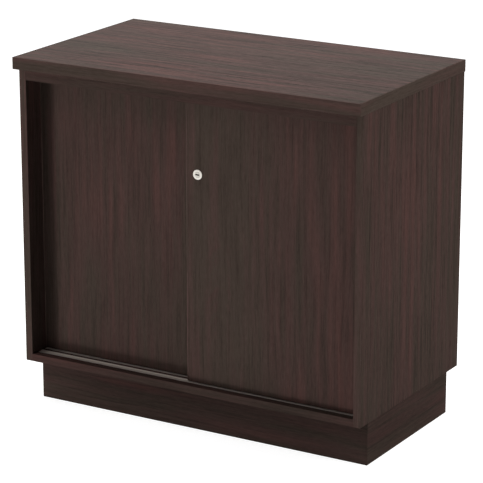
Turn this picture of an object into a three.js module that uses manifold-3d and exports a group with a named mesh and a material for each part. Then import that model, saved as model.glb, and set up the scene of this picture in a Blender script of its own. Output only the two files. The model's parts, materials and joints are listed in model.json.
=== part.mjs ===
// Office credenza: a low cabinet with two sliding doors on a recessed plinth.
// Millimetres, +Z up. The origin is on the floor under the middle of the worktop, and the doors face -Y.
import * as THREE from "three";
import { mergeVertices } from "three/addons/utils/BufferGeometryUtils.js";
import Module from "manifold-3d";

const wasm = await Module();
wasm.setup();

// Overall size
const cabinetWidth = 800;
const cabinetDepth = 450;
const cabinetHeight = 750;

// Boards and edge bands
const topThickness = 25;
const boardThickness = 16;
const topBandThickness = 2;
const boardBandThickness = 1;
const topFrontOverhang = 20;
const topSideOverhang = 2;

// Clearances: between boards that meet, and round a piece that is let into another
const glueGap = 0.1;
const slipGap = 0.3;

// Plinth
const plinthHeight = 95;
const plinthFrontSetback = 47;
const plinthSideSetback = 8;
const plinthBackSetback = 32;
const cornerBlockLeg = 40;
const cornerBlockHeight = 70;

// Rails and back panel
const frontRailHeight = 25;
const rearRailHeight = 60;
const backThickness = 8;
const backInset = 12;
const backGrooveDepth = 6;

// Shelf and the pins that carry it
const shelfRise = 294;
const shelfEndGap = 2;
const shelfFrontGap = 12;
const shelfBackGap = 2;
const pinDiameter = 5;
const pinDepth = 8;
const pinReach = 8;
const pinCollarDiameter = 8;
const pinCollarThickness = 1.2;
const pinFromShelfEdge = 45;
const pinHolePitch = 32;
const pinHolesEachWay = 3;

// Upper door track: three lips and two channels, hung under the worktop
const trackSetback = 18.5;
const trackLip = 2.5;
const trackChannel = 22;
const trackBase = 1.5;
const upperChannelDepth = 17;

// Lower door tracks: one strip for each door, let into the bottom panel, with a rib that the wheels straddle
const stripWidth = 18.5;
const stripThickness = 3;
const stripDrop = 1;
const ribWidth = 2;
const ribHeight = 1;

// Sliding doors
const doorThickness = 16;
const doorBandThickness = 2;
const doorOverlap = 27;
const doorEndGap = 0.5;
const doorBottomGap = 1;
const doorTopEntry = 6;

// Rollers in the bottom edge of each door
const wheelDiameter = 20;
const wheelWidth = 6;
const wheelFlange = 0.8;
const wheelGroove = 3;
const wheelChamfer = 0.6;
const wheelSideGap = 0.4;
const wheelRibGap = 0.1;
const wheelCrownGap = 1;
const axleDiameter = 3;
const runningGap = 0.1;
const housingLength = 30;
const housingWall = 1.2;
const rollerFromEdge = 60;

// Guides on the top edge of each door
const guideLength = 36;
const guideHeight = 6;
const guideSideGap = 1;
const guideTenonWidth = 5;
const guideTenonDepth = 8;
const guideFromEdge = 45;

// Lock on the front door, and its catch on the rear door
const lockBackset = 27;
const lockRise = 438;
const flangeDiameter = 21;
const flangeThickness = 1.4;
const flangeRound = 0.6;
const sleeveDiameter = 16;
const plugDiameter = 12;
const plugProud = 0.3;
const keySlotLength = 8.6;
const keySlotHeight = 2.8;
const keySlotDepth = 9;
const keySlotTilt = 3;
const tailWidth = 6;
const nutAcrossFlats = 20;
const nutThickness = 3.5;
const nutRecessDiameter = 25;
const nutRecessDepth = 4;
const camLength = 22;
const camWidth = 10;
const camThickness = 2;
const camStandOff = 1;
const screwDiameter = 3;
const screwDepth = 6;
const screwHeadDiameter = 8;
const screwHeadThickness = 1.8;
const catchWidth = 14;
const catchHeight = 12;
const catchFaceGap = 1;
const catchCamGap = 1;
const catchHubGap = 4;
const catchBoreDiameter = 4;

// Facets round small and large circles
const smallFacets = 12;
const roundFacets = 32;

// Planes of the carcass
const carcassHalf = cabinetWidth / 2 - topSideOverhang;
const innerHalf = carcassHalf - boardThickness;
const topFront = -cabinetDepth / 2;
const topBack = cabinetDepth / 2;
const carcassFront = topFront + topFrontOverhang;
const carcassTop = cabinetHeight - topThickness;
const boardFront = carcassFront + boardBandThickness;
const floorTop = plinthHeight + boardThickness;
const backFront = topBack - backInset - backThickness;

// Planes of the tracks and doors
const trackFront = carcassFront + trackSetback;
const trackPitch = trackChannel + trackLip;
const trackWidth = 2 * trackPitch + trackLip;
const trackHalf = innerHalf - slipGap;
const stripTop = floorTop - stripDrop;
const stripBottom = stripTop - stripThickness;
const ribTop = stripTop + ribHeight;
const upperTrackTop = carcassTop - glueGap;
const upperTrackBottom = upperTrackTop - trackBase - upperChannelDepth;
const doorWidth = innerHalf - doorEndGap + doorOverlap / 2;
const doorBottom = floorTop + doorBottomGap;
const doorHeight = upperTrackBottom + doorTopEntry - doorBottom;
const frontChannelMiddle = trackFront + trackLip + trackChannel / 2;
const rearChannelMiddle = frontChannelMiddle + trackPitch;
const frontDoorLeft = innerHalf - doorEndGap - doorWidth;
const rearDoorLeft = -innerHalf + doorEndGap;
const doorGap = trackPitch - doorThickness;

// Planes of the shelf
const pinHeight = floorTop + shelfRise;
const shelfBottom = pinHeight + pinDiameter / 2 + glueGap;
const shelfFront = rearChannelMiddle + doorThickness / 2 + shelfFrontGap;
const shelfBack = backFront - shelfBackGap;
const pinRows = [shelfFront + pinFromShelfEdge, shelfBack - pinFromShelfEdge];

// Finishes
const finish = (color, roughness, metalness) => () =>
  new THREE.MeshStandardMaterial({ color, roughness, metalness });
const darkWalnut = finish(0x40332e, 0.5, 0);
const walnutBand = finish(0x46393a, 0.45, 0);
const walnutInside = finish(0x3c302b, 0.6, 0);
const paleSoftwood = finish(0xb89a6c, 0.8, 0);
const satinAluminium = finish(0xa8a6a2, 0.4, 0.9);
const greyNylon = finish(0x6e6c69, 0.6, 0);
const whiteNylon = finish(0xdcdad2, 0.5, 0);
const brightSteel = finish(0xb9bbbd, 0.3, 1);
const nickelPlate = finish(0xd8d6d0, 0.22, 1);

const credenza = new THREE.Group();

function addMesh(group, name, geometry, makeMaterial) {
  const mesh = new THREE.Mesh(geometry, makeMaterial());
  mesh.name = name;
  group.add(mesh);
  return mesh;
}

// A box between two corners.
function boxGeometry(low, high) {
  const size = high.map((value, axis) => value - low[axis]);
  const middle = high.map((value, axis) => (value + low[axis]) / 2);
  return new THREE.BoxGeometry(...size).translate(...middle);
}

function addBoard(group, name, low, high, makeMaterial) {
  return addMesh(group, name, boxGeometry(low, high), makeMaterial);
}

// A flat outline of [x, y] points, with optional holes, made into a slab from z = 0 upwards.
function slabGeometry(outline, thickness, holes = []) {
  const shape = new THREE.Shape(outline.map(([x, y]) => new THREE.Vector2(x, y)));
  for (const hole of holes) {
    shape.holes.push(new THREE.Path(hole.map(([x, y]) => new THREE.Vector2(x, y))));
  }
  return new THREE.ExtrudeGeometry(shape, { depth: thickness, bevelEnabled: false });
}

// A section of [y, z] points drawn out along X, with its middle at x = 0.
function profileGeometry(section, length) {
  const alongX = new THREE.Matrix4().makeBasis(
    new THREE.Vector3(0, 1, 0),
    new THREE.Vector3(0, 0, 1),
    new THREE.Vector3(1, 0, 0),
  );
  return slabGeometry(section, length).translate(0, 0, -length / 2).applyMatrix4(alongX);
}

// A profile of [radius, y] points turned about the Y axis.
function turnedGeometry(profile, facets) {
  return new THREE.LatheGeometry(profile.map(([radius, y]) => new THREE.Vector2(radius, y)), facets);
}

// A round bar along Y between two values of y.
function rodGeometry(diameter, yStart, yEnd, facets) {
  const rod = new THREE.CylinderGeometry(diameter / 2, diameter / 2, yEnd - yStart, facets);
  return rod.translate(0, (yStart + yEnd) / 2, 0);
}

function toSolid(geometry) {
  const bare = geometry.index ? geometry.toNonIndexed() : geometry.clone();
  bare.deleteAttribute("normal");
  bare.deleteAttribute("uv");
  const merged = mergeVertices(bare, 1e-3);
  return new wasm.Manifold(
    new wasm.Mesh({
      numProp: 3,
      vertProperties: new Float32Array(merged.attributes.position.array),
      triVerts: new Uint32Array(merged.index.array),
    }),
  );
}

function toGeometry(solid) {
  const result = solid.getMesh();
  const geometry = new THREE.BufferGeometry();
  geometry.setAttribute("position", new THREE.BufferAttribute(result.vertProperties, 3));
  geometry.setIndex(new THREE.BufferAttribute(result.triVerts, 1));
  return geometry;
}

// The first geometry with all the others cut out of it.
function cutGeometry(geometry, cutters) {
  const solid = cutters.reduce((rest, cutter) => rest.subtract(toSolid(cutter)), toSolid(geometry));
  return toGeometry(solid);
}

function addWorktop(group) {
  const half = cabinetWidth / 2;
  const bottom = carcassTop;
  const top = cabinetHeight;
  const innerEdge = half - topBandThickness;
  const coreHalf = innerEdge - glueGap;
  const coreFront = topFront + topBandThickness;
  const coreBack = topBack - topBandThickness;
  addBoard(
    group,
    "top_panel",
    [-coreHalf, coreFront + glueGap, bottom],
    [coreHalf, coreBack - glueGap, top],
    darkWalnut,
  );
  addBoard(group, "top_front_band", [-half, topFront, bottom], [half, coreFront, top], walnutBand);
  addBoard(group, "top_back_band", [-half, coreBack, bottom], [half, topBack, top], walnutBand);
  const bandFront = coreFront + glueGap;
  const bandBack = coreBack - glueGap;
  addBoard(group, "top_left_band", [-half, bandFront, bottom], [-innerEdge, bandBack, top], walnutBand);
  addBoard(group, "top_right_band", [innerEdge, bandFront, bottom], [half, bandBack, top], walnutBand);
}

// A side panel with its back groove and its two rows of shelf pin holes. side is -1 on the left, 1 on the right.
function addSidePanel(group, name, side) {
  const bottom = plinthHeight + glueGap;
  const top = carcassTop - glueGap;
  const near = (distance) => side * (innerHalf + distance);
  const span = (a, b) => [Math.min(a, b), Math.max(a, b)];
  const [panelLow, panelHigh] = span(near(0), near(boardThickness));
  const [grooveLow, grooveHigh] = span(near(-slipGap), near(backGrooveDepth + slipGap));
  const panel = boxGeometry([panelLow, boardFront + glueGap, bottom], [panelHigh, topBack, top]);
  const groove = boxGeometry(
    [grooveLow, backFront - slipGap, bottom - boardThickness],
    [grooveHigh, backFront + backThickness + slipGap, top + boardThickness],
  );
  const cutters = [groove];
  for (const rowY of pinRows) {
    for (let step = -pinHolesEachWay; step <= pinHolesEachWay; step += 1) {
      const hole = rodGeometry(pinDiameter + slipGap, -slipGap, pinDepth + slipGap, smallFacets);
      hole.rotateZ((-side * Math.PI) / 2);
      hole.translate(near(0), rowY, pinHeight + step * pinHolePitch);
      cutters.push(hole);
    }
  }
  addMesh(group, name + "_panel", cutGeometry(panel, cutters), darkWalnut);
  addBoard(
    group,
    name + "_band",
    [panelLow, carcassFront, bottom],
    [panelHigh, boardFront, top],
    walnutBand,
  );
}

function addBottomPanel(group) {
  const half = innerHalf - glueGap;
  const bottom = plinthHeight + glueGap;
  const panel = boxGeometry([-half, boardFront + glueGap, bottom], [half, backFront - glueGap, floorTop]);
  const grooves = [trackFront, trackFront + trackPitch].map((front) =>
    boxGeometry(
      [-carcassHalf, front - slipGap, stripBottom - glueGap],
      [carcassHalf, front + stripWidth + slipGap, floorTop + boardThickness],
    ),
  );
  addMesh(group, "bottom_panel", cutGeometry(panel, grooves), darkWalnut);
  addBoard(group, "bottom_band", [-half, carcassFront, bottom], [half, boardFront, floorTop], walnutBand);
}

function addRailsAndBack(group) {
  const half = innerHalf - glueGap;
  const top = carcassTop - glueGap;
  addBoard(
    group,
    "front_rail",
    [-half, carcassFront, carcassTop - frontRailHeight],
    [half, carcassFront + boardThickness, top],
    darkWalnut,
  );
  addBoard(
    group,
    "rear_rail",
    [-half, backFront - glueGap - boardThickness, carcassTop - rearRailHeight],
    [half, backFront - glueGap, top],
    walnutInside,
  );
  const backHalf = innerHalf + backGrooveDepth;
  addBoard(
    group,
    "back_panel",
    [-backHalf, backFront, plinthHeight + glueGap],
    [backHalf, backFront + backThickness, top],
    walnutInside,
  );
}

function addShelf(group) {
  const half = innerHalf - shelfEndGap;
  const bandBack = shelfFront + boardBandThickness;
  const top = shelfBottom + boardThickness;
  addBoard(group, "shelf", [-half, bandBack + glueGap, shelfBottom], [half, shelfBack, top], walnutInside);
  addBoard(group, "shelf_band", [-half, shelfFront, shelfBottom], [half, bandBack, top], walnutBand);

  const shank = pinDiameter / 2;
  const collar = pinCollarDiameter / 2;
  const profile = [
    [0, -pinDepth],
    [shank, -pinDepth],
    [shank, glueGap],
    [collar, glueGap],
    [collar, glueGap + pinCollarThickness],
    [shank, glueGap + pinCollarThickness],
    [shank, pinReach],
    [0, pinReach],
  ];
  const rowNames = ["front", "rear"];
  for (const side of [-1, 1]) {
    pinRows.forEach((rowY, row) => {
      const name = "shelf_pin_" + (side < 0 ? "left_" : "right_") + rowNames[row];
      const pin = addMesh(group, name, turnedGeometry(profile, smallFacets), brightSteel);
      pin.position.set(side * innerHalf, rowY, pinHeight);
      pin.rotation.z = (side * Math.PI) / 2;
    });
  }
}

// Four boards mitred into a ring, each drawn with its outer face on y = 0, and a glued block in each corner.
function addPlinth(group) {
  const half = carcassHalf - plinthSideSetback;
  const front = carcassFront + plinthFrontSetback;
  const back = topBack - plinthBackSetback;
  const middle = (front + back) / 2;
  const length = 2 * half;
  const depth = back - front;
  const sides = [
    { name: "plinth_front", run: length, at: [0, front], turn: 0 },
    { name: "plinth_right", run: depth, at: [half, middle], turn: Math.PI / 2 },
    { name: "plinth_back", run: length, at: [0, back], turn: Math.PI },
    { name: "plinth_left", run: depth, at: [-half, middle], turn: -Math.PI / 2 },
  ];
  for (const { name, run, at, turn } of sides) {
    const outer = run / 2 - glueGap;
    const inner = outer - boardThickness;
    const outline = [
      [-outer, 0],
      [outer, 0],
      [inner, boardThickness],
      [-inner, boardThickness],
    ];
    const board = addMesh(group, name, slabGeometry(outline, plinthHeight), darkWalnut);
    board.position.set(at[0], at[1], 0);
    board.rotation.z = turn;
  }

  const blockX = half - boardThickness - glueGap;
  const blockFront = front + boardThickness + glueGap;
  const blockBack = back - boardThickness - glueGap;
  const corners = [
    { name: "front_left", at: [-blockX, blockFront], turn: 0 },
    { name: "front_right", at: [blockX, blockFront], turn: Math.PI / 2 },
    { name: "back_right", at: [blockX, blockBack], turn: Math.PI },
    { name: "back_left", at: [-blockX, blockBack], turn: -Math.PI / 2 },
  ];
  for (const { name, at, turn } of corners) {
    const outline = [
      [0, 0],
      [cornerBlockLeg, 0],
      [0, cornerBlockLeg],
    ];
    const geometry = slabGeometry(outline, cornerBlockHeight);
    const block = addMesh(group, "corner_block_" + name, geometry, paleSoftwood);
    block.position.set(at[0], at[1], plinthHeight - cornerBlockHeight);
    block.rotation.z = turn;
  }
}

// The upper track's section: a base with three lips that hang from it, drawn from the top of its front edge.
function upperTrackSection() {
  const lipEnd = -trackBase - upperChannelDepth;
  const points = [
    [0, 0],
    [0, lipEnd],
  ];
  for (const channel of [0, 1]) {
    const channelFront = channel * trackPitch + trackLip;
    const channelBack = channelFront + trackChannel;
    points.push([channelFront, lipEnd]);
    points.push([channelFront, -trackBase]);
    points.push([channelBack, -trackBase]);
    points.push([channelBack, lipEnd]);
  }
  points.push([trackWidth, lipEnd]);
  points.push([trackWidth, 0]);
  return points;
}

// A lower track's section: a flat strip with a rib under the middle of the door, drawn from its lower front edge.
function lowerTrackSection() {
  const ribMiddle = trackLip + trackChannel / 2;
  const ribFront = ribMiddle - ribWidth / 2;
  const ribBack = ribMiddle + ribWidth / 2;
  return [
    [0, 0],
    [stripWidth, 0],
    [stripWidth, stripThickness],
    [ribBack, stripThickness],
    [ribBack, stripThickness + ribHeight],
    [ribFront, stripThickness + ribHeight],
    [ribFront, stripThickness],
    [0, stripThickness],
  ];
}

function addTracks(group) {
  const length = 2 * trackHalf;
  const upper = addMesh(group, "upper_track", profileGeometry(upperTrackSection(), length), satinAluminium);
  upper.position.set(0, trackFront, upperTrackTop);
  ["front_lower_track", "rear_lower_track"].forEach((name, row) => {
    const strip = addMesh(group, name, profileGeometry(lowerTrackSection(), length), satinAluminium);
    strip.position.set(0, trackFront + row * trackPitch, stripBottom);
  });
}

// Heights of the roller parts above the door's bottom edge, and the width of the housing.
const wheelRise = ribTop + wheelRibGap + wheelDiameter / 2 - doorBottom;
const housingInside = wheelWidth / 2 + wheelSideGap;
const housingHalf = housingInside + housingWall;
const housingCeiling = wheelRise + wheelDiameter / 2 + wheelFlange + wheelCrownGap;
const housingTop = housingCeiling + housingWall;

// A roller: a housing open below, a wheel in it and the axle through both. x is along the door from its left edge.
function addRoller(door, name, x) {
  const roller = new THREE.Group();
  roller.position.set(x, doorThickness / 2, 0);
  door.add(roller);

  const section = [
    [-housingHalf, 0],
    [-housingInside, 0],
    [-housingInside, housingCeiling],
    [housingInside, housingCeiling],
    [housingInside, 0],
    [housingHalf, 0],
    [housingHalf, housingTop],
    [-housingHalf, housingTop],
  ];
  const boreDiameter = axleDiameter + 2 * runningGap;
  const reach = housingHalf + housingWall;
  const bore = rodGeometry(boreDiameter, -reach, reach, smallFacets).translate(0, 0, wheelRise);
  const housing = cutGeometry(profileGeometry(section, housingLength), [bore]);
  addMesh(roller, name + "_roller_housing", housing, greyNylon);

  const tread = wheelDiameter / 2;
  const rim = tread + wheelFlange;
  const boreRadius = boreDiameter / 2;
  const side = wheelWidth / 2;
  const groove = wheelGroove / 2;
  const profile = [
    [boreRadius, -side],
    [rim - wheelChamfer, -side],
    [rim, wheelChamfer - side],
    [rim, -groove],
    [tread, -groove],
    [tread, groove],
    [rim, groove],
    [rim, side - wheelChamfer],
    [rim - wheelChamfer, side],
    [boreRadius, side],
    [boreRadius, -side],
  ];
  const wheel = addMesh(roller, name + "_roller_wheel", turnedGeometry(profile, roundFacets), whiteNylon);
  wheel.position.z = wheelRise;

  const axleGeometry = rodGeometry(axleDiameter, -housingHalf, housingHalf, smallFacets);
  const axle = addMesh(roller, name + "_roller_axle", axleGeometry, brightSteel);
  axle.position.z = wheelRise;
}

// A guide that runs in the upper track, with a tenon let into the door's top edge.
function addTopGuide(door, name, x) {
  const half = trackChannel / 2 - guideSideGap;
  const tenon = guideTenonWidth / 2;
  const section = [
    [-tenon, -guideTenonDepth],
    [tenon, -guideTenonDepth],
    [tenon, glueGap],
    [half, glueGap],
    [half, guideHeight],
    [-half, guideHeight],
    [-half, glueGap],
    [-tenon, glueGap],
  ];
  const guide = addMesh(door, name + "_top_guide", profileGeometry(section, guideLength), greyNylon);
  guide.position.set(x, doorThickness / 2, doorHeight);
}

// A sliding door, drawn from the lower left corner of its front face. cutters are cut out of its board.
function addDoor(group, name, left, channelMiddle, cutters) {
  const door = new THREE.Group();
  door.position.set(left, channelMiddle - doorThickness / 2, doorBottom);
  group.add(door);

  const ends = { left: 1, right: -1 };
  const place = (end, distance) => (ends[end] > 0 ? distance : doorWidth - distance);
  const middle = doorThickness / 2;
  const pockets = [];
  for (const end of Object.keys(ends)) {
    const rollerX = place(end, rollerFromEdge);
    const guideX = place(end, guideFromEdge);
    const rollerHalf = housingLength / 2 + slipGap;
    const rollerSide = housingHalf + slipGap;
    const guideHalf = guideLength / 2 + slipGap;
    const guideSide = guideTenonWidth / 2 + slipGap;
    pockets.push(
      boxGeometry(
        [rollerX - rollerHalf, middle - rollerSide, -boardThickness],
        [rollerX + rollerHalf, middle + rollerSide, housingTop + slipGap],
      ),
      boxGeometry(
        [guideX - guideHalf, middle - guideSide, doorHeight - guideTenonDepth - slipGap],
        [guideX + guideHalf, middle + guideSide, doorHeight + boardThickness],
      ),
    );
    addRoller(door, name + "_" + end, rollerX);
    addTopGuide(door, name + "_" + end, guideX);
  }

  const coreStart = doorBandThickness + glueGap;
  const core = boxGeometry([coreStart, 0, 0], [doorWidth - coreStart, doorThickness, doorHeight]);
  addMesh(door, name + "_panel", cutGeometry(core, [...pockets, ...cutters]), darkWalnut);
  for (const end of Object.keys(ends)) {
    const edges = [place(end, 0), place(end, doorBandThickness)].sort((a, b) => a - b);
    addBoard(
      door,
      name + "_" + end + "_band",
      [edges[0], 0, 0],
      [edges[1], doorThickness, doorHeight],
      walnutBand,
    );
  }
  return door;
}

// The hole for the lock's sleeve and the round recess for its nut in the back of the front door.
function lockCutters() {
  const hole = rodGeometry(sleeveDiameter + 2 * slipGap, -doorThickness, 2 * doorThickness, roundFacets);
  const recess = rodGeometry(
    nutRecessDiameter,
    doorThickness - nutRecessDepth,
    2 * doorThickness,
    roundFacets,
  );
  return [hole, recess].map((cutter) => cutter.translate(lockBackset, 0, lockRise));
}

// The lock, drawn about its own axis with y = 0 on the front face of the door.
function addLock(door) {
  const lock = new THREE.Group();
  lock.position.set(lockBackset, 0, lockRise);
  door.add(lock);

  const bore = plugDiameter / 2 + runningGap;
  const flange = flangeDiameter / 2;
  const sleeve = sleeveDiameter / 2;
  const bodyProfile = [
    [bore, -flangeThickness],
    [flange - flangeRound, -flangeThickness],
    [flange, flangeRound - flangeThickness],
    [flange, -glueGap],
    [sleeve, -glueGap],
    [sleeve, doorThickness],
    [bore, doorThickness],
    [bore, -flangeThickness],
  ];
  addMesh(lock, "lock_body", turnedGeometry(bodyProfile, roundFacets), nickelPlate);

  const nutCorner = nutAcrossFlats / 2 / Math.cos(Math.PI / 6);
  const nutEnd = doorThickness - nutRecessDepth + glueGap + nutThickness;
  const nutBlank = rodGeometry(2 * nutCorner, nutEnd - nutThickness, nutEnd, 6);
  const thread = rodGeometry(sleeveDiameter + 2 * slipGap, 0, 2 * doorThickness, roundFacets);
  addMesh(lock, "lock_nut", cutGeometry(nutBlank, [thread]), brightSteel);

  const camStart = doorThickness + camStandOff;
  const camEnd = camStart + camThickness;
  const plugFront = -flangeThickness - plugProud;
  const plugEnd = camStart - glueGap;
  const plugBarrel = rodGeometry(plugDiameter, plugFront, plugEnd, roundFacets);
  const tailHalf = tailWidth / 2;
  const tail = boxGeometry([-tailHalf, plugEnd - tailWidth, -tailHalf], [tailHalf, camEnd, tailHalf]);
  const slot = boxGeometry(
    [-keySlotLength / 2, plugFront - keySlotDepth, -keySlotHeight / 2],
    [keySlotLength / 2, plugFront + keySlotDepth, keySlotHeight / 2],
  ).rotateY(THREE.MathUtils.degToRad(keySlotTilt));
  const screwHole = rodGeometry(screwDiameter + slipGap, camEnd - screwDepth - slipGap, 2 * camEnd, smallFacets);
  const plug = toSolid(plugBarrel).add(toSolid(tail));
  addMesh(lock, "key_plug", cutGeometry(toGeometry(plug), [slot, screwHole]), nickelPlate);

  const camHalf = camWidth / 2;
  const camOutline = new THREE.Shape();
  camOutline.moveTo(0, -camHalf);
  camOutline.lineTo(camLength, -camHalf);
  camOutline.lineTo(camLength, camHalf);
  camOutline.lineTo(0, camHalf);
  camOutline.absarc(0, 0, camHalf, Math.PI / 2, (3 * Math.PI) / 2, false);
  const holeHalf = tailHalf + runningGap;
  camOutline.holes.push(
    new THREE.Path([
      new THREE.Vector2(-holeHalf, -holeHalf),
      new THREE.Vector2(-holeHalf, holeHalf),
      new THREE.Vector2(holeHalf, holeHalf),
      new THREE.Vector2(holeHalf, -holeHalf),
    ]),
  );
  const camGeometry = new THREE.ExtrudeGeometry(camOutline, {
    depth: camThickness,
    bevelEnabled: false,
    curveSegments: smallFacets / 2,
  });
  camGeometry.rotateX(Math.PI / 2).translate(0, camEnd, 0);
  addMesh(lock, "lock_cam", camGeometry, brightSteel);

  const headStart = camEnd + glueGap;
  const shank = screwDiameter / 2;
  const head = screwHeadDiameter / 2;
  const screwProfile = [
    [0, camEnd - screwDepth],
    [shank, camEnd - screwDepth],
    [shank, headStart],
    [head, headStart],
    [head, headStart + screwHeadThickness],
    [0, headStart + screwHeadThickness],
  ];
  addMesh(lock, "cam_screw", turnedGeometry(screwProfile, smallFacets), brightSteel);
}

// The catch that the turned-up cam meets: a block on the rear door, beside the cam and above the lock's hub.
function addLockCatch(rearDoor) {
  const lockX = frontDoorLeft + lockBackset - rearDoorLeft;
  const high = lockX - camWidth / 2 - catchCamGap;
  const low = high - catchWidth;
  const bottom = lockRise + camWidth / 2 + catchHubGap;
  const top = bottom + catchHeight;
  const face = catchFaceGap - doorGap;
  const block = boxGeometry([low, face, bottom], [high, -glueGap, top]);
  const screwBore = rodGeometry(catchBoreDiameter, -2 * doorGap, doorGap, smallFacets);
  screwBore.translate((low + high) / 2, 0, (bottom + top) / 2);
  addMesh(rearDoor, "lock_catch", cutGeometry(block, [screwBore]), brightSteel);
}

addWorktop(credenza);
addSidePanel(credenza, "left_side", -1);
addSidePanel(credenza, "right_side", 1);
addBottomPanel(credenza);
addRailsAndBack(credenza);
addShelf(credenza);
addPlinth(credenza);
addTracks(credenza);
const frontDoor = addDoor(credenza, "front_door", frontDoorLeft, frontChannelMiddle, lockCutters());
const rearDoor = addDoor(credenza, "rear_door", rearDoorLeft, rearChannelMiddle, []);
addLock(frontDoor);
addLockCatch(rearDoor);

export default credenza;
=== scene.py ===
import json
import math

import bmesh
import bpy
from mathutils import Matrix, Vector


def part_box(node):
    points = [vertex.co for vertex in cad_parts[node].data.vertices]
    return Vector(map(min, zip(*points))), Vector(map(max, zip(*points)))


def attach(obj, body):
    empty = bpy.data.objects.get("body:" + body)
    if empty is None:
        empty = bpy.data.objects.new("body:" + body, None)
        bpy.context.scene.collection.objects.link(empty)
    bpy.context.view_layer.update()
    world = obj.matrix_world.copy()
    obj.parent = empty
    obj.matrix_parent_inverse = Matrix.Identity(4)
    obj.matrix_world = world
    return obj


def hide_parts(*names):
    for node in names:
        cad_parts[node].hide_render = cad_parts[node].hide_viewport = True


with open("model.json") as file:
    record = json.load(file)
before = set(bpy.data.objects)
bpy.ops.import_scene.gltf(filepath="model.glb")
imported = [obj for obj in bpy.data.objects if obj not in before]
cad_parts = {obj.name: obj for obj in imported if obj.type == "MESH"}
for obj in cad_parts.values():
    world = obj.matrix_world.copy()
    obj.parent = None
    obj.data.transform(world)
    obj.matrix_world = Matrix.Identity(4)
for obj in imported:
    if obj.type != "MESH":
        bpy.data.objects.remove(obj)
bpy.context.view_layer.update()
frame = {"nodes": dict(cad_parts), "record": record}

record = frame["record"]
MM = 0.001

# Which body each node of the frame belongs to
BODY_OF = {node: body for body, nodes in record["behaviour"]["bodies"].items() for node in nodes}

# Camera, as solved from the cabinet's edges: where it looks, from which side and how far off
CAMERA_TARGET = Vector((0.0, 0.0, 0.375))
CAMERA_AZIMUTH = math.radians(30.72)
CAMERA_ELEVATION = math.radians(16.66)
CAMERA_DISTANCE = 5.203
CAMERA_ASIDE = 0.0061
CAMERA_RAISE = -0.0114
CAMERA_SENSOR = 36.0
CAMERA_LENS = 187.83

# Edge easing of the boards, the edge bands and the small hardware
BOARD_EASE = 0.5 * MM
TOP_BAND_EASE = 0.6 * MM
BAND_EASE = 0.35 * MM
METAL_EASE = 0.25 * MM
EASE_STEPS = 3
SHARP_ANGLE = math.radians(35)

# Shortest edges that are eased, and what counts as one point or one plane when a shape is cleaned
BOARD_EDGE = 10 * MM
METAL_EDGE = 0.2 * MM
WELD_REACH = 0.001 * MM
FLAT_ANGLE = math.radians(0.5)


class Finish:
    """The nodes of one material, or of the world, added one by one."""

    def __init__(self, holder):
        self.holder = holder
        holder.use_nodes = True
        self.tree = holder.node_tree
        self.tree.nodes.clear()

    def add(self, kind, settings=None, inputs=None, output=0):
        """Adds any node: its settings first, then the values or links of its sockets."""
        made = self.tree.nodes.new(kind)
        for name, value in (settings or {}).items():
            if name == "stops":
                set_stops(made.color_ramp, value)
            else:
                setattr(made, name, value)
        for name, value in (inputs or {}).items():
            if isinstance(value, Value):
                self.tree.links.new(value.socket, made.inputs[name])
            else:
                made.inputs[name].default_value = value
        return Value(self, made.outputs[output]) if made.outputs else None

    def surface(self, **inputs):
        """Closes a material with a Principled shader. Names use _ for a space."""
        named = {name.replace("_", " "): value for name, value in inputs.items()}
        shader = self.add("ShaderNodeBsdfPrincipled", inputs=named)
        self.add("ShaderNodeOutputMaterial", inputs={"Surface": shader})
        return self.holder


class Value:
    """A shader value. Arithmetic on it adds Math nodes to its finish."""

    def __init__(self, finish, socket):
        self.finish = finish
        self.socket = socket

    def other(self, output):
        """Another output of the same node."""
        return Value(self.finish, self.socket.node.outputs[output])

    def maths(self, operation, first, second):
        return self.finish.add("ShaderNodeMath", {"operation": operation}, {0: first, 1: second})

    def __add__(self, other):
        return self.maths("ADD", self, other)

    def __radd__(self, other):
        return self.maths("ADD", other, self)

    def __sub__(self, other):
        return self.maths("SUBTRACT", self, other)

    def __rsub__(self, other):
        return self.maths("SUBTRACT", other, self)

    def __mul__(self, other):
        return self.maths("MULTIPLY", self, other)

    def __rmul__(self, other):
        return self.maths("MULTIPLY", other, self)

    def larger(self, other):
        return self.maths("MAXIMUM", self, other)

    def between(self, low, high):
        """0 at low, 1 at high, and smooth from one to the other."""
        limits = {"Value": self, "From Min": low, "From Max": high}
        return self.finish.add("ShaderNodeMapRange", {"interpolation_type": "SMOOTHSTEP"}, limits)


def new_finish(name):
    return Finish(bpy.data.materials.new(name))


def set_stops(ramp, stops):
    while len(ramp.elements) > 1:
        ramp.elements.remove(ramp.elements[-1])
    for index, (place, colour) in enumerate(stops):
        stop = ramp.elements[0] if index == 0 else ramp.elements.new(place)
        stop.position = place
        stop.color = colour


def srgb(red, green, blue):
    """A colour given as it looks on screen, 0 to 255, as a linear colour."""
    def linear(value):
        share = value / 255
        return share / 12.92 if share <= 0.04045 else ((share + 0.055) / 1.055) ** 2.4
    return (linear(red), linear(green), linear(blue), 1.0)


def mix_colours(finish, share, first, second):
    return finish.add("ShaderNodeMix", {"data_type": "RGBA"}, {0: share, 6: first, 7: second}, output=2)


def bumps(finish, height, strength, distance):
    """A relief that turns the surface's normals by a height map."""
    return finish.add("ShaderNodeBump", inputs={"Strength": strength, "Distance": distance, "Height": height})


NOISE_MIDDLE = 0.5
NOISE_ROUGHNESS = 0.55


def noise(finish, place, across, along, detail=2.0):
    """Noise drawn out along the grain: across and along are its counts per metre."""
    stretched = finish.add(
        "ShaderNodeMapping",
        {"vector_type": "POINT"},
        {"Vector": place, "Scale": (across, across, along)},
    )
    inputs = {"Vector": stretched, "Scale": 1.0, "Detail": detail, "Roughness": NOISE_ROUGHNESS}
    return finish.add("ShaderNodeTexNoise", {"noise_dimensions": "3D"}, inputs)


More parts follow.
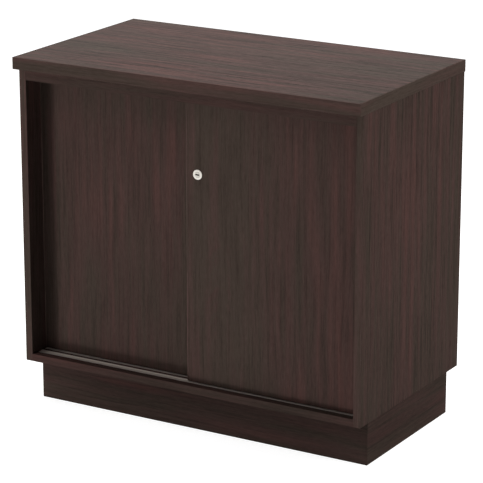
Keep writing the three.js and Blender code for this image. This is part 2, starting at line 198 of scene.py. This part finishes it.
# Walnut print of the boards: its colours, and its marks in counts per metre across and along the grain
WALNUT_OLIVE = srgb(69, 59, 53)
WALNUT_BROWN = srgb(74, 58, 54)
WALNUT_RED = srgb(83, 60, 56)
WALNUT_DARK = srgb(44, 34, 30)
WANDER_MARKS = (6.0, 2.5)
DRIFT_MARKS = (9.0, 1.4)
BAND_MARKS = (60.0, 3.4)
STREAK_MARKS = (170.0, 5.5)
LINE_MARKS = (330.0, 9.0)
FIBRE_MARKS = (430.0, 70.0)
PORE_MARKS = (1400.0, 45.0)
WANDER_REACH = 0.016
GRAIN_TURNS = {
    "Z": (0.0, 0.0, 0.0),
    "X": (0.0, -math.pi / 2, 0.0),
    "Y": (math.pi / 2, 0.0, 0.0),
}

# How far each kind of mark turns the colour, on a scale where these three tints have their places
OLIVE_TINT = 0.38
BROWN_TINT = 0.5
RED_TINT = 0.62
DRIFT_TINT = 0.45
BAND_TINT = 0.5
STREAK_TINT = 0.12

# Dark veins: the share of each kind of mark in them, where they start and are full, and how dark they are
BAND_VEIN = 0.25
STREAK_VEIN = 0.45
LINE_VEIN = 0.3
VEIN_RANGE = (0.02, -0.16)
VEIN_DARKNESS = 0.3

# Pores: where they start and are full, and how dark they are
PORE_RANGE = (0.6, 0.72)
PORE_DARKNESS = 0.3

# How far each kind of mark lightens and darkens the print
BAND_SHADE = 0.2
STREAK_SHADE = 0.4
LINE_SHADE = 0.45
FIBRE_SHADE = 0.7

# Relief of the boards: raised fibres and sunk pores
FIBRE_RISE = 0.6
PORE_SINK = 0.4
BOARD_RELIEF = 0.12
BOARD_RELIEF_HEIGHT = 0.2 * MM

# Satin lacquer: its mirror share in the print's own colour, its roughness, its edge tint and a clear gloss
LACQUER_SHARE = 0.24
WORKTOP_LACQUER_SHARE = 0.1
LACQUER_ROUGHNESS = 0.22
FIBRE_ROUGHNESS = 0.05
LACQUER_EDGE = (0.4, 0.4, 0.4, 1.0)
CLEAR_GLOSS = 0.003

# Nested arches in the middle of one board
ARCH_CURVE = 30.0
ARCH_RINGS = 42.0
ARCH_SPREAD = 6.0
ARCH_HALF_WIDTH = 0.05
ARCH_HALF_HEIGHT = 0.14
ARCH_STRENGTH = 0.5


def leaning(finish, place, axis, start, end, start_level, end_level):
    """A level that changes smoothly along one axis of a board, from one place to another."""
    along = finish.add("ShaderNodeSeparateXYZ", inputs={"Vector": place}, output=axis)
    return start_level + (end_level - start_level) * along.between(start, end)


def nested_arches(finish, place, middle_x, middle_z):
    """Arches of the grain about one point of an upright board, fading out all round."""
    x_place = finish.add("ShaderNodeSeparateXYZ", inputs={"Vector": place}, output="X")
    aside = x_place - middle_x
    above = x_place.other("Z") - middle_z
    rise = above + aside * aside * ARCH_CURVE
    line = finish.add("ShaderNodeCombineXYZ", inputs={"Z": rise * ARCH_RINGS, "X": aside * ARCH_SPREAD})
    rings = finish.add("ShaderNodeTexNoise", inputs={"Vector": line, "Scale": 1.0, "Detail": 2.0})
    across = (aside * aside).between(ARCH_HALF_WIDTH ** 2, 0.0)
    along = (above * above).between(ARCH_HALF_HEIGHT ** 2, 0.0)
    return (rings - NOISE_MIDDLE) * across * along * ARCH_STRENGTH


def walnut(
    name,
    grain,
    shift,
    lightness=1.0,
    contrast=0.75,
    warmth=0.0,
    leans=(),
    painted_shading=(),
    arches=None,
    lacquer=LACQUER_SHARE,
):
    """Dark walnut board with its grain along one axis. shift moves the print, so that boards differ,
    contrast is that of its streaks, and warmth turns its colour from olive to red.
    leans are changes of warmth, each an axis, two places along it and the warmth that is added at each.
    fades: painted light and shade, as changes of lightness given in the same way, with a factor at each
    place.
    arches, where there are any, is their x and z in an upright board.
    lacquer is the share of the light that its lacquer mirrors."""
    finish = new_finish(name)
    object_place = finish.add("ShaderNodeTexCoord", output="Object")
    place = finish.add(
        "ShaderNodeMapping",
        {"vector_type": "POINT"},
        {"Vector": object_place, "Rotation": GRAIN_TURNS[grain], "Location": shift},
    )
    sway = (noise(finish, place, *WANDER_MARKS) - NOISE_MIDDLE) * WANDER_REACH
    moved = finish.add("ShaderNodeCombineXYZ", inputs={"X": sway, "Y": sway})
    wavy = finish.add("ShaderNodeVectorMath", {"operation": "ADD"}, {0: place, 1: moved})

    drift = noise(finish, wavy, *DRIFT_MARKS) - NOISE_MIDDLE
    bands = noise(finish, wavy, *BAND_MARKS, detail=3.0) - NOISE_MIDDLE
    streaks = noise(finish, wavy, *STREAK_MARKS, detail=3.0) - NOISE_MIDDLE
    lines = noise(finish, wavy, *LINE_MARKS) - NOISE_MIDDLE
    fibres = noise(finish, wavy, *FIBRE_MARKS) - NOISE_MIDDLE
    pores = noise(finish, wavy, *PORE_MARKS, detail=1.0).between(*PORE_RANGE)

    tint = BROWN_TINT + warmth + drift * DRIFT_TINT + bands * BAND_TINT + streaks * STREAK_TINT
    for lean in leans:
        tint = tint + leaning(finish, object_place, *lean)
    if arches:
        tint = tint + nested_arches(finish, object_place, *arches)
    warm = finish.add(
        "ShaderNodeValToRGB",
        {"stops": [(OLIVE_TINT, WALNUT_OLIVE), (BROWN_TINT, WALNUT_BROWN), (RED_TINT, WALNUT_RED)]},
        {"Fac": tint},
    )
    veins = (bands * BAND_VEIN + streaks * STREAK_VEIN + lines * LINE_VEIN).between(*VEIN_RANGE)
    toned = mix_colours(finish, veins * (VEIN_DARKNESS * contrast), warm, WALNUT_DARK)
    pored = mix_colours(finish, pores * PORE_DARKNESS, toned, WALNUT_DARK)
    figure = bands * BAND_SHADE + streaks * STREAK_SHADE + lines * LINE_SHADE + fibres * FIBRE_SHADE
    shade = (1 + figure * contrast) * lightness
    # Painted light and shade: the lightness is scaled along the board where more or less light falls on it.
    for shading_ramp in painted_shading:
        shade = shade * leaning(finish, object_place, *shading_ramp)
    colour = finish.add("ShaderNodeVectorMath", {"operation": "SCALE"}, {0: pored, "Scale": shade})

    height = fibres * FIBRE_RISE - pores * PORE_SINK
    return finish.surface(
        Base_Color=colour,
        Metallic=lacquer,
        Specular_Tint=LACQUER_EDGE,
        Roughness=LACQUER_ROUGHNESS + FIBRE_ROUGHNESS * fibres,
        Specular_IOR_Level=CLEAR_GLOSS,
        Normal=bumps(finish, height, BOARD_RELIEF, BOARD_RELIEF_HEIGHT),
    )


# Brushed metal: the relief of its lines and how far they change its roughness
BRUSH_RELIEF = 0.08
BRUSH_RELIEF_HEIGHT = 0.05 * MM
BRUSH_ROUGHNESS = 0.2

# Painted shade inside the key slot: its colour, and how far behind the plug's face it is full
SLOT_PAINTED_SHADE = srgb(52, 49, 45)
SLOT_FADE = 0.7 * MM


def brushed_metal(name, colour, roughness, brush_scale, painted_shade_start=None, metallic=1.0):
    """Metal with fine brushed lines. brush_scale is the count of lines per metre along X, Y and Z.
    painted_shade_start, where it is given, is the y behind which painted shade darkens the metal, as inside a
    key slot.
    metallic is less than 1 where a coat on the metal scatters light."""
    finish = new_finish(name)
    place = finish.add("ShaderNodeTexCoord", output="Object")
    # Painted shade: the metal turns dark behind the plug's face, where the key slot lies in shade.
    if painted_shade_start is not None:
        depth = finish.add("ShaderNodeSeparateXYZ", inputs={"Vector": place}, output="Y")
        inside = depth.between(painted_shade_start, painted_shade_start + SLOT_FADE)
        colour = mix_colours(finish, inside, colour, SLOT_PAINTED_SHADE)
    stretched = finish.add("ShaderNodeMapping", inputs={"Vector": place, "Scale": brush_scale})
    lines = finish.add("ShaderNodeTexNoise", inputs={"Vector": stretched, "Scale": 1.0, "Detail": 3.0})
    return finish.surface(
        Base_Color=colour,
        Metallic=metallic,
        Roughness=roughness + BRUSH_ROUGHNESS * (lines - NOISE_MIDDLE),
        Normal=bumps(finish, lines, BRUSH_RELIEF, BRUSH_RELIEF_HEIGHT),
    )


# Moulded plastic: its grit in counts per metre, its dark specks and its relief
GRIT_MARKS = 2400.0
SPECK_RANGE = (0.3, 0.7)
SPECK_DARKNESS = 0.25
SPECK_COLOUR = (0.0, 0.0, 0.0, 1.0)
GRIT_RELIEF = 0.15
GRIT_RELIEF_HEIGHT = 0.05 * MM
GRIT_ROUGHNESS = 0.2


def moulded(name, colour, roughness):
    """Moulded plastic with a fine spark-eroded texture."""
    finish = new_finish(name)
    place = finish.add("ShaderNodeTexCoord", output="Object")
    grit = finish.add("ShaderNodeTexNoise", inputs={"Vector": place, "Scale": GRIT_MARKS, "Detail": 2.0})
    specks = grit.between(*SPECK_RANGE) * SPECK_DARKNESS
    return finish.surface(
        Base_Color=mix_colours(finish, specks, colour, SPECK_COLOUR),
        Roughness=roughness + GRIT_ROUGHNESS * (grit - NOISE_MIDDLE),
        Normal=bumps(finish, grit, GRIT_RELIEF, GRIT_RELIEF_HEIGHT),
    )


# Sawn softwood: its rings and fibres in counts per metre across and along the grain, and its tones
RING_MARKS = (220.0, 4.0)
SAWN_MARKS = (1500.0, 30.0)
RING_SHARE = 0.7
SAWN_SHARE = 0.3
SOFTWOOD_TONES = [(0.3, srgb(150, 116, 74)), (0.55, srgb(196, 164, 116)), (0.8, srgb(208, 180, 134))]
SAWN_RELIEF = 0.3
SAWN_RELIEF_HEIGHT = 0.3 * MM
SAWN_ROUGHNESS = 0.8
SAWN_GLOSS = 0.2


def sawn_softwood(name):
    finish = new_finish(name)
    place = finish.add("ShaderNodeTexCoord", output="Object")
    rings = noise(finish, place, *RING_MARKS, detail=3.0)
    fibres = noise(finish, place, *SAWN_MARKS)
    tone = rings * RING_SHARE + fibres * SAWN_SHARE
    return finish.surface(
        Base_Color=finish.add("ShaderNodeValToRGB", {"stops": SOFTWOOD_TONES}, {"Fac": tone}),
        Roughness=SAWN_ROUGHNESS,
        Specular_IOR_Level=SAWN_GLOSS,
        Normal=bumps(finish, fibres, SAWN_RELIEF, SAWN_RELIEF_HEIGHT),
    )


# Finishes of the hardware
TRACK_BRUSH = (12.0, 2600.0, 2600.0)
STEEL_BRUSH = (900.0, 900.0, 900.0)
NICKEL_BRUSH = (700.0, 700.0, 700.0)
PLUG_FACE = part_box("key_plug")[0].y
TRACK_METAL = brushed_metal("satin_track", srgb(182, 172, 164), 0.5, TRACK_BRUSH, metallic=0.5)
STEEL = brushed_metal("zinc_steel", srgb(196, 198, 200), 0.32, STEEL_BRUSH)
NICKEL = brushed_metal("bright_nickel", srgb(211, 206, 198), 0.28, NICKEL_BRUSH)
DULL_NICKEL = brushed_metal("dull_nickel", srgb(193, 189, 181), 0.34, NICKEL_BRUSH, painted_shade_start=PLUG_FACE)
GREY_NYLON = moulded("grey_nylon", srgb(110, 108, 105), 0.55)
WHITE_NYLON = moulded("white_nylon", srgb(222, 220, 212), 0.45)
SOFTWOOD = sawn_softwood("sawn_softwood")

# Finishes of the boards and edge bands. Their differing lightness is partly the boards' own tone and partly
# painted light and shade, set face by face for how brightly each face is lit.
WORKTOP = walnut(
    "walnut_worktop",
    "X",
    (0.0, 0.31, 0.2),
    contrast=1.7,
    warmth=0.02,
    lacquer=WORKTOP_LACQUER_SHARE,
    leans=[("X", -0.35, -0.05, -0.07, 0.0), ("X", 0.15, 0.35, 0.0, -0.07)],
)
LONG_BAND = walnut("walnut_long_band", "X", (0.7, 0.1, 0.5), lightness=1.21)
LOW_BAND = walnut("walnut_low_band", "X", (0.6, 0.4, 0.25), lightness=0.95)
SHORT_BAND = walnut("walnut_short_band", "Y", (0.3, 0.2, 0.9), lightness=1.18, warmth=-0.1)
SIDE_BOARD = walnut("walnut_side_board", "Z", (0.15, 0.4, 0.3), lightness=1.02, contrast=1.0, warmth=-0.04)
UPRIGHT_BAND = walnut("walnut_upright_band", "Z", (0.9, 0.6, 0.1), lightness=1.22, warmth=-0.05)
# Painted highlight: the door bands are much lighter than the other bands, so that the doors' upright edges
# show as a lit line.
HIGHLIT_DOOR_BAND = walnut("walnut_door_band_painted_highlight", "Z", (0.4, 0.3, 0.7), lightness=1.7, warmth=-0.06)
LONG_BOARD = walnut("walnut_long_board", "X", (0.2, 0.75, 0.15), lightness=1.0, warmth=-0.06)
BASE_BOARD = walnut("walnut_base_board", "X", (0.35, 0.15, 0.65), lightness=0.92)
PLINTH_BOARD = walnut(
    "walnut_plinth_board",
    "X",
    (0.45, 0.9, 0.35),
    lightness=0.86,
    warmth=-0.03,
    # Painted light and shade: lighter towards the floor where its bounce falls, darker up under the carcass
    # overhang, lighter towards the left end.
    painted_shading=[("Z", 0.0, 0.085, 1.17, 0.75), ("X", -0.39, -0.1, 1.28, 1.0)],
)
PLINTH_END = walnut(
    "walnut_plinth_end",
    "Y",
    (0.5, 0.35, 0.6),
    lightness=0.85,
    warmth=-0.03,
    # Painted light: lighter towards the floor, where its bounce falls.
    painted_shading=[("Z", 0.0, 0.045, 1.3, 1.0)],
)
FRONT_DOOR_BOARD = walnut(
    "walnut_front_door",
    "Z",
    (0.62, 0.8, 0.05),
    lightness=1.13,
    leans=[("X", 0.02, 0.22, -0.08, 0.03)],
    # Painted shade: darker towards the right end, beside the right side panel.
    painted_shading=[("X", 0.05, 0.37, 1.05, 0.92)],
    arches=(0.07, 0.33),
)
REAR_DOOR_BOARD = walnut(
    "walnut_rear_door",
    "Z",
    (0.27, 0.12, 0.8),
    lightness=1.08,
    leans=[
        # Painted shade tint: olive by the left side panel, beside the front door's edge and under the front
        # rail, where shade falls.
        ("X", -0.345, -0.31, -0.1, 0.0),
        ("X", -0.065, -0.045, 0.0, -0.07),
        ("Z", 0.6, 0.67, 0.0, -0.07),
    ],
)
BACK_BOARD = walnut("walnut_back", "Z", (0.05, 0.55, 0.45), lightness=1.15, lacquer=0.0)


def link_piece(name, mesh, material):
    mesh.materials.clear()
    mesh.materials.append(material)
    piece = bpy.data.objects.new(name, mesh)
    bpy.context.scene.collection.objects.link(piece)
    return piece


def stand_for(piece, node):
    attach(piece, BODY_OF[node])
    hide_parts(node)
    return piece


def eased_copy(node, material, ease, least_edge, smooth):
    """The node's own shape with its long outer edges eased, which then stands for the node."""
    shape = bmesh.new()
    shape.from_mesh(frame["nodes"][node].data)
    bmesh.ops.remove_doubles(shape, verts=shape.verts, dist=WELD_REACH)
    bmesh.ops.dissolve_limit(shape, angle_limit=FLAT_ANGLE, verts=shape.verts, edges=shape.edges)
    outer = [
        edge
        for edge in shape.edges
        if edge.is_manifold
        and edge.calc_face_angle_signed() > SHARP_ANGLE
        and edge.calc_length() > least_edge
    ]
    bmesh.ops.bevel(
        shape,
        geom=outer,
        offset=ease,
        offset_type="OFFSET",
        segments=EASE_STEPS,
        profile=0.5,
        affect="EDGES",
        clamp_overlap=True,
        material=-1,
    )
    mesh = bpy.data.meshes.new(node + "_finished")
    shape.to_mesh(mesh)
    shape.free()
    for face in mesh.polygons:
        face.use_smooth = smooth
    if smooth:
        mesh.set_sharp_from_angle(angle=SHARP_ANGLE)
    return stand_for(link_piece(node + "_finished", mesh, material), node)


ENDS = ("left", "right")
ROWS = ("front", "rear")
DOORS = ("front_door", "rear_door")

BOARDS = {
    "top_panel": WORKTOP,
    "left_side_panel": SIDE_BOARD,
    "right_side_panel": SIDE_BOARD,
    "bottom_panel": BASE_BOARD,
    "front_rail": LONG_BOARD,
    "rear_rail": LONG_BOARD,
    "back_panel": BACK_BOARD,
    "shelf": LONG_BOARD,
    "plinth_front": PLINTH_BOARD,
    "plinth_back": PLINTH_BOARD,
    "plinth_left": PLINTH_END,
    "plinth_right": PLINTH_END,
    "front_door_panel": FRONT_DOOR_BOARD,
    "rear_door_panel": REAR_DOOR_BOARD,
}
BANDS = {
    "bottom_band": LOW_BAND,
    "shelf_band": LONG_BAND,
    "left_side_band": UPRIGHT_BAND,
    "right_side_band": UPRIGHT_BAND,
    **{f"{door}_{end}_band": HIGHLIT_DOOR_BAND for door in DOORS for end in ENDS},
}
TOP_BANDS = {
    "top_front_band": LONG_BAND,
    "top_back_band": LONG_BAND,
    "top_left_band": SHORT_BAND,
    "top_right_band": SHORT_BAND,
}
HARDWARE = {
    "front_lower_track": TRACK_METAL,
    "rear_lower_track": TRACK_METAL,
    "upper_track": TRACK_METAL,
    "lock_body": NICKEL,
    "key_plug": DULL_NICKEL,
    "lock_nut": STEEL,
    "lock_cam": STEEL,
    "cam_screw": STEEL,
    "lock_catch": STEEL,
    **{f"shelf_pin_{end}_{row}": STEEL for end in ENDS for row in ROWS},
    **{f"{door}_{end}_roller_housing": GREY_NYLON for door in DOORS for end in ENDS},
    **{f"{door}_{end}_roller_wheel": WHITE_NYLON for door in DOORS for end in ENDS},
    **{f"{door}_{end}_roller_axle": STEEL for door in DOORS for end in ENDS},
    **{f"{door}_{end}_top_guide": GREY_NYLON for door in DOORS for end in ENDS},
}
BLOCKS = {f"corner_block_{row}_{end}": SOFTWOOD for row in ("front", "back") for end in ENDS}

for node, material in BOARDS.items():
    eased_copy(node, material, BOARD_EASE, BOARD_EDGE, smooth=False)
for node, material in BANDS.items():
    eased_copy(node, material, BAND_EASE, BOARD_EDGE, smooth=False)
for node, material in TOP_BANDS.items():
    eased_copy(node, material, TOP_BAND_EASE, BOARD_EDGE, smooth=False)
for node, material in HARDWARE.items():
    eased_copy(node, material, METAL_EASE, METAL_EDGE, smooth=True)
for node, material in BLOCKS.items():
    eased_copy(node, material, BOARD_EASE, BOARD_EDGE, smooth=False)


# Pale floor: its greys in the light that it returns and to the eye, and its glow near by and far off
FLOOR_HALF = 12.0
FLOOR_BOUNCE = 0.88
FLOOR_SHOWN = 0.45
FLOOR_GLOW_NEAR = 0.9
FLOOR_GLOW_FAR = 1.0
FLOOR_FADE = (0.9, 2.2)

# What the lamps point at
CABINET_MIDDLE = Vector((0.0, 0.0, 0.4))
WORKTOP_MIDDLE = Vector((0.0, 0.1, 0.75))


def white_to_the_eye(finish):
    """1 for rays that the eye, a mirror or glass sends out, and 0 for the rest."""
    seen = finish.add("ShaderNodeLightPath", output="Is Camera Ray")
    return seen.larger(seen.other("Is Glossy Ray")).larger(seen.other("Is Transmission Ray"))


def grey(level):
    return (level, level, level, 1.0)


def make_floor():
    shape = bmesh.new()
    bmesh.ops.create_grid(shape, x_segments=1, y_segments=1, size=FLOOR_HALF)
    mesh = bpy.data.meshes.new("floor")
    shape.to_mesh(mesh)
    shape.free()
    finish = new_finish("pale_floor")
    bounce = finish.add("ShaderNodeBsdfDiffuse", inputs={"Color": grey(FLOOR_BOUNCE)})
    pale = finish.add("ShaderNodeBsdfDiffuse", inputs={"Color": grey(FLOOR_SHOWN)})
    place = finish.add("ShaderNodeTexCoord", output="Object")
    away = finish.add("ShaderNodeVectorMath", {"operation": "LENGTH"}, {0: place}, output="Value")
    glow_colour = mix_colours(finish, away.between(*FLOOR_FADE), grey(FLOOR_GLOW_NEAR), grey(FLOOR_GLOW_FAR))
    glow = finish.add("ShaderNodeEmission", inputs={"Color": glow_colour, "Strength": 1.0})
    shown = finish.add("ShaderNodeAddShader", inputs={0: pale, 1: glow})
    mixed = finish.add("ShaderNodeMixShader", inputs={0: white_to_the_eye(finish), 1: bounce, 2: shown})
    finish.add("ShaderNodeOutputMaterial", inputs={"Surface": mixed})
    link_piece("floor", mesh, finish.holder)


def make_world():
    world = bpy.data.worlds.new("studio")
    bpy.context.scene.world = world
    finish = Finish(world)
    inputs = {"Color": grey(1.0), "Strength": white_to_the_eye(finish)}
    sky = finish.add("ShaderNodeBackground", inputs=inputs)
    finish.add("ShaderNodeOutputWorld", inputs={"Surface": sky})


def soft_lamp(name, place, target, size, power):
    """A square soft lamp: size in metres, power in watts."""
    lamp = bpy.data.lights.new(name, "AREA")
    lamp.shape = "SQUARE"
    lamp.size = size
    lamp.energy = power
    holder = bpy.data.objects.new(name, lamp)
    bpy.context.scene.collection.objects.link(holder)
    holder.location = place
    holder.rotation_euler = (target - holder.location).to_track_quat("-Z", "Y").to_euler()
    holder.visible_camera = False
    holder.visible_glossy = False


def make_camera():
    cos_e, sin_e = math.cos(CAMERA_ELEVATION), math.sin(CAMERA_ELEVATION)
    cos_a, sin_a = math.cos(CAMERA_AZIMUTH), math.sin(CAMERA_AZIMUTH)
    back = Vector((sin_a * cos_e, -cos_a * cos_e, sin_e))
    right = Vector((cos_a, sin_a, 0.0))
    up = back.cross(right)
    place = CAMERA_TARGET + back * CAMERA_DISTANCE + right * CAMERA_ASIDE + up * CAMERA_RAISE
    lens = bpy.data.cameras.new("camera")
    lens.sensor_width = CAMERA_SENSOR
    lens.lens = CAMERA_LENS
    camera = bpy.data.objects.new("camera", lens)
    bpy.context.scene.collection.objects.link(camera)
    turn = Matrix((right, up, back)).transposed().to_4x4()
    camera.matrix_world = Matrix.Translation(place) @ turn
    bpy.context.scene.camera = camera


make_floor()
make_world()
soft_lamp("overhead_softbox", (-0.6, 0.8, 3.2), WORKTOP_MIDDLE, size=2.4, power=98.0)
soft_lamp("high_front_softbox", (-1.5, -2.0, 3.6), CABINET_MIDDLE, size=2.0, power=40.0)
soft_lamp("front_softbox", (-2.2, -4.2, 1.3), CABINET_MIDDLE, size=2.6, power=4.0)
soft_lamp("low_front_softbox", (-2.6, -3.4, 0.6), CABINET_MIDDLE, size=1.1, power=19.0)
soft_lamp("high_right_softbox", (3.2, 0.8, 3.0), CABINET_MIDDLE, size=2.0, power=83.0)
make_camera()
bpy.context.scene.view_settings.view_transform = "Standard"
